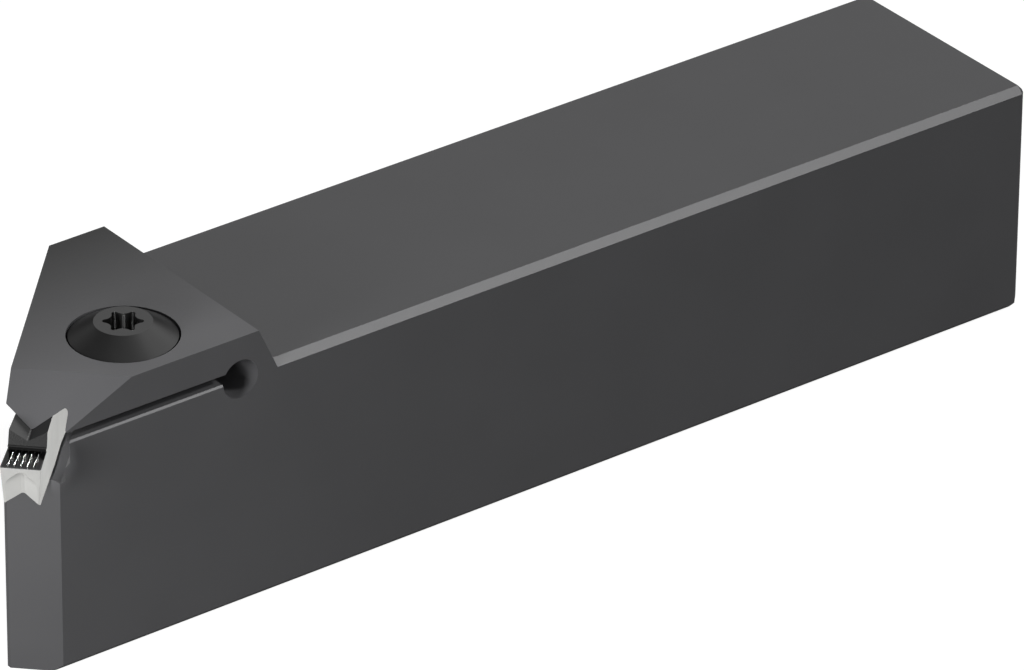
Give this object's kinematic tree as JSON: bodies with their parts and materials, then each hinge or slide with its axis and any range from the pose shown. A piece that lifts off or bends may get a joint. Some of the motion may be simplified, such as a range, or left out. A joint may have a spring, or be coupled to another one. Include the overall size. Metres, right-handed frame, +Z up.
{
  "type": "turning tool holder",
  "caption": "Square-shank turning tool holder whose angled head clamps a two-ended grooving insert under a spring arm with one screw.",
  "frame": {"origin": "centre of the shank's bottom face, halfway between the clamp arm's rear wall and the back end", "axes": "+X along the shank to its back end, the cutting head at -X; +Z up, from the shank's base to the clamp screw's head; +Y to the side away from the cutting edge"},
  "size_m": [0.1233, 0.0282, 0.0303],
  "materials": {
    "holder_steel": "satin dark finish on fine-milled steel",
    "insert_carbide": "ground flanks, glossy dark top",
    "screw_steel": "satin blackened steel"
  },
  "bodies": {
    "holder": {"holder_body": "holder_steel", "cutting_insert": "insert_carbide"},
    "screw": {"clamp_screw": "screw_steel"}
  },
  "joints": [
    {"name": "clamp_screw_turn", "type": "hinge", "parent": "holder", "child": "screw", "pos_m": [-0.05736, -0.00555, 0.02733], "axis": [0, 0, 1], "range_deg": [0, 720]}
  ]
}
